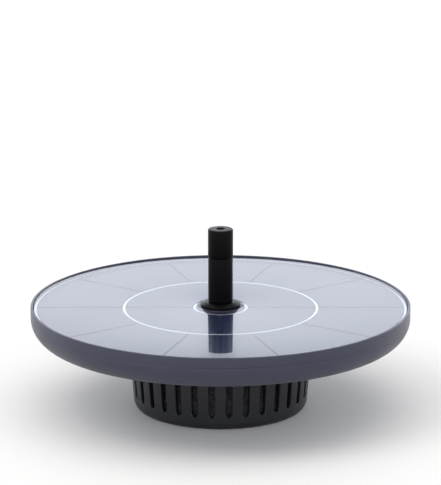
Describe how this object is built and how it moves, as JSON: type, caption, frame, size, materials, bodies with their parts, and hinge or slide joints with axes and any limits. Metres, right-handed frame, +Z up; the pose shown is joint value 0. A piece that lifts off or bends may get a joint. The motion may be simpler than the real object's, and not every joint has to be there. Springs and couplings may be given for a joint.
{
  "type": "solar fountain pump",
  "caption": "Round floating solar panel with an upright push-fit spray nozzle, a small submersible pump under it and a slotted filter cage as its foot.",
  "frame": {"origin": "centre of the filter cage's flat foot, which is the lowest face", "axes": "+Z up through the nozzle, normal to the panel; +X along the pump's shaft from the impeller to the motor's closed end; -Y is the side seen in the picture"},
  "size_m": [0.16, 0.16, 0.077],
  "materials": {
    "float_shell": "satin",
    "foam": "matte",
    "circuit_board": "satin",
    "clear_cover": "gloss",
    "silver": "satin",
    "solar_cell": "gloss",
    "rubber": "matte",
    "epoxy": "satin",
    "pump_plastic": "satin",
    "laminations": "satin",
    "copper": "gloss",
    "ceramic": "polished",
    "magnet": "matte",
    "seal_rubber": "matte",
    "steel": "satin",
    "nozzle_plastic": "satin",
    "cage_plastic": "satin",
    "sponge": "matte"
  },
  "bodies": {
    "filter_cage": {"filter_cage": "cage_plastic", "filter_sponge": "sponge"},
    "float_body": {"float_shell": "float_shell", "foam_float": "foam", "panel_board": "circuit_board", "driver_board": "circuit_board", "panel_cover": "clear_cover", "bus_ring_inner": "silver", "bus_ring_middle": "silver", "bus_ring_outer": "silver", "solar_cell_inner_01": "solar_cell", "solar_cell_inner_02": "solar_cell", "solar_cell_inner_03": "solar_cell", "solar_cell_inner_04": "solar_cell", "solar_cell_outer_01": "solar_cell", "solar_cell_outer_02": "solar_cell", "solar_cell_outer_03": "solar_cell", "solar_cell_outer_04": "solar_cell", "solar_cell_outer_05": "solar_cell", "solar_cell_outer_06": "solar_cell", "solar_cell_outer_07": "solar_cell", "solar_cell_outer_08": "solar_cell", "solar_cell_outer_09": "solar_cell", "solar_cell_outer_10": "solar_cell", "lead_grommet": "rubber", "lead_gland": "rubber", "pump_lead": "rubber", "rear_bush": "rubber", "lead_terminal": "epoxy", "blocking_diode": "epoxy", "driver_chip": "epoxy", "hall_sensor": "epoxy", "potting_plug": "epoxy", "pump_housing": "pump_plastic", "stator_core": "laminations", "stator_coil_1": "copper", "stator_coil_2": "copper", "stator_coil_3": "copper", "stator_coil_4": "copper", "rotor_shaft": "ceramic", "outlet_o_ring": "seal_rubber", "pump_screw_1": "steel", "pump_screw_2": "steel", "pump_screw_3": "steel", "pump_screw_4": "steel"},
    "rotor": {"impeller": "pump_plastic", "rotor_magnet": "magnet"},
    "impeller_cover": {"impeller_cover": "pump_plastic", "front_bush": "rubber", "cover_o_ring": "seal_rubber"},
    "nozzle_base": {"nozzle_base": "nozzle_plastic", "base_o_ring": "seal_rubber"},
    "riser": {"riser_tube": "nozzle_plastic"},
    "spray_head": {"spray_head": "nozzle_plastic"}
  },
  "joints": [
    {"name": "float_lift_off", "type": "slide", "parent": "filter_cage", "child": "float_body", "axis": [0, 0, 1], "range_m": [0, 0.045]},
    {"name": "impeller_spin", "type": "hinge", "parent": "float_body", "child": "rotor", "pos_m": [0, 0, 0.0185], "axis": [1, 0, 0], "continuous": true},
    {"name": "cover_twist", "type": "hinge", "parent": "float_body", "child": "impeller_cover", "pos_m": [-0.0077, 0, 0.0185], "axis": [1, 0, 0], "range_deg": [0, 25]},
    {"name": "nozzle_pull_out", "type": "slide", "parent": "float_body", "child": "nozzle_base", "axis": [0, 0, 1], "range_m": [0, 0.014]},
    {"name": "riser_pull_off", "type": "slide", "parent": "nozzle_base", "child": "riser", "axis": [0, 0, 1], "range_m": [0, 0.009]},
    {"name": "head_pull_off", "type": "slide", "parent": "riser", "child": "spray_head", "axis": [0, 0, 1], "range_m": [0, 0.009]}
  ]
}
